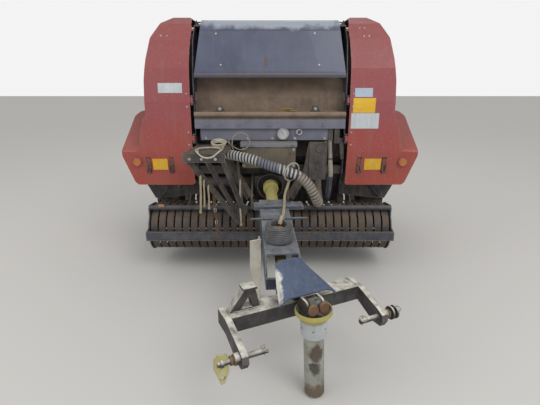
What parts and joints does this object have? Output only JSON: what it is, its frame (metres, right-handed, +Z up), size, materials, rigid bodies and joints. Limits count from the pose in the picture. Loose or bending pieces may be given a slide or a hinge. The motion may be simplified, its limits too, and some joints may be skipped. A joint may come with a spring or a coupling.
{
  "type": "round baler",
  "caption": "Towed round baler with roller chamber, opening tailgate, tined pickup, red side covers and a two-point hitch drawbar.",
  "frame": {"origin": "on the ground, under the middle of the bounding box", "axes": "+X to the right of someone who faces the machine from the front, -Y ahead along the drawbar, +Z up"},
  "size_m": [2.41, 3.5956, 2.046],
  "materials": {
    "navy_paint": "faded",
    "red_paint": "faded",
    "dusty_paint": "dusty",
    "bare_steel": "worn",
    "rod_chrome": "polished",
    "tyre_rubber": "dusty",
    "rim_paint": "dusty",
    "hose_rubber": "dusty",
    "amber_lens": "moulded",
    "lamp_red": "moulded",
    "guard_yellow": "faded",
    "guard_cream": "dirty",
    "worn_bands": "rusty"
  },
  "bodies": {
    "chassis": {"chassis_frame": "navy_paint", "wall_left": "navy_paint", "wall_right": "navy_paint", "front_rollers": "bare_steel", "body_sheets": "navy_paint", "net_tray": "dusty_paint", "gauge_panel": "navy_paint", "main_gearbox": "bare_steel", "front_brackets": "navy_paint", "middle_box": "dusty_paint", "side_guards": "navy_paint", "chain_drive_left": "bare_steel", "chain_drive_right": "bare_steel", "hose_bundle": "hose_rubber", "hose_right": "hose_rubber"},
    "hood": {"front_hood": "navy_paint"},
    "cover_left": {"cover_left": "red_paint", "lamp_left": "amber_lens"},
    "cover_right": {"cover_right": "red_paint", "lamp_right": "amber_lens"},
    "tailgate": {"gate_wall_left": "navy_paint", "gate_wall_right": "navy_paint", "gate_skin": "navy_paint", "gate_rollers": "bare_steel", "gate_cover_left": "red_paint", "gate_cover_right": "red_paint", "gate_lamps": "lamp_red"},
    "barrel_left": {"cylinder_left": "bare_steel"},
    "barrel_right": {"cylinder_right": "bare_steel"},
    "rod_left": {"rod_left": "rod_chrome"},
    "rod_right": {"rod_right": "rod_chrome"},
    "pickup": {"pickup_frame": "navy_paint", "pickup_bands": "worn_bands"},
    "reel": {"pickup_reel": "bare_steel"},
    "wheel_left": {"tyre_left": "tyre_rubber", "rim_left": "rim_paint"},
    "wheel_right": {"tyre_right": "tyre_rubber", "rim_right": "rim_paint"},
    "drawbar": {"drawbar": "navy_paint", "main_driveline": "guard_yellow", "cable_coil": "hose_rubber"},
    "stand": {"parking_stand": "dusty_paint"},
    "yoke": {"hitch_yoke": "navy_paint", "hitch_shield": "navy_paint"},
    "half_shaft": {"pto_shaft": "guard_cream"}
  },
  "joints": [
    {"name": "wheel_left_spin", "type": "hinge", "parent": "chassis", "child": "wheel_left", "pos_m": [-1.02, 1.106, 0.42], "axis": [1, 0, 0], "continuous": true},
    {"name": "wheel_right_spin", "type": "hinge", "parent": "chassis", "child": "wheel_right", "pos_m": [1.02, 1.106, 0.42], "axis": [1, 0, 0], "continuous": true},
    {"name": "tailgate_lift", "type": "hinge", "parent": "chassis", "child": "tailgate", "pos_m": [0, 0.996, 1.985], "axis": [1, 0, 0], "range_deg": [0, 65]},
    {"name": "cover_left_swing", "type": "hinge", "parent": "chassis", "child": "cover_left", "pos_m": [-0.612, 0.026, 1.26], "axis": [0, 0, 1], "range_deg": [0, 80]},
    {"name": "cover_right_swing", "type": "hinge", "parent": "chassis", "child": "cover_right", "pos_m": [0.612, 0.026, 1.26], "axis": [0, 0, -1], "range_deg": [0, 80]},
    {"name": "hood_lift", "type": "hinge", "parent": "chassis", "child": "hood", "pos_m": [0, 0.38, 2.01], "axis": [-1, 0, 0], "range_deg": [0, 70]},
    {"name": "pickup_lift", "type": "hinge", "parent": "chassis", "child": "pickup", "pos_m": [0, 0.416, 0.43], "axis": [1, 0, 0], "range_deg": [0, 12]},
    {"name": "reel_spin", "type": "hinge", "parent": "pickup", "child": "reel", "pos_m": [0, 0.121, 0.335], "axis": [-1, 0, 0], "continuous": true},
    {"name": "drawbar_swing", "type": "hinge", "parent": "chassis", "child": "drawbar", "pos_m": [0, -0.109, 0.587], "axis": [0, 0, 1], "range_deg": [-10, 8]},
    {"name": "yoke_turn", "type": "hinge", "parent": "drawbar", "child": "yoke", "pos_m": [0.08092, -1.26617, 0.473], "axis": [0, 0, 1], "range_deg": [-75, 35]},
    {"name": "stand_fold", "type": "hinge", "parent": "drawbar", "child": "stand", "pos_m": [-0.07167, -0.77562, 0.54], "axis": [0.9976, 0.0698, 0], "range_deg": [0, 64]},
    {"name": "half_shaft_swing", "type": "hinge", "parent": "yoke", "child": "half_shaft", "pos_m": [0.21353, -1.49992, 0.528], "axis": [-0.9041, -0.4274, 0], "range_deg": [0, 100]},
    {"name": "cylinder_left_swing", "type": "hinge", "parent": "chassis", "child": "barrel_left", "pos_m": [-0.66, 0.876, 1], "axis": [1, 0, 0], "range_deg": [0, 5.9]},
    {"name": "rod_left_slide", "type": "slide", "parent": "barrel_left", "child": "rod_left", "axis": [0, 0.4961, 0.8682], "range_m": [0, 0.419]},
    {"name": "cylinder_right_swing", "type": "hinge", "parent": "chassis", "child": "barrel_right", "pos_m": [0.66, 0.876, 1], "axis": [1, 0, 0], "range_deg": [0, 5.9]},
    {"name": "rod_right_slide", "type": "slide", "parent": "barrel_right", "child": "rod_right", "axis": [0, 0.4961, 0.8682], "range_m": [0, 0.419]}
  ],
  "couplings": [
    {"joint": "rod_left_slide", "follows": "tailgate_lift", "m_per_rad": 0.3679},
    {"joint": "cylinder_left_swing", "follows": "tailgate_lift", "ratio": 0.0892},
    {"joint": "rod_right_slide", "follows": "tailgate_lift", "m_per_rad": 0.3679},
    {"joint": "cylinder_right_swing", "follows": "tailgate_lift", "ratio": 0.0892}
  ]
}
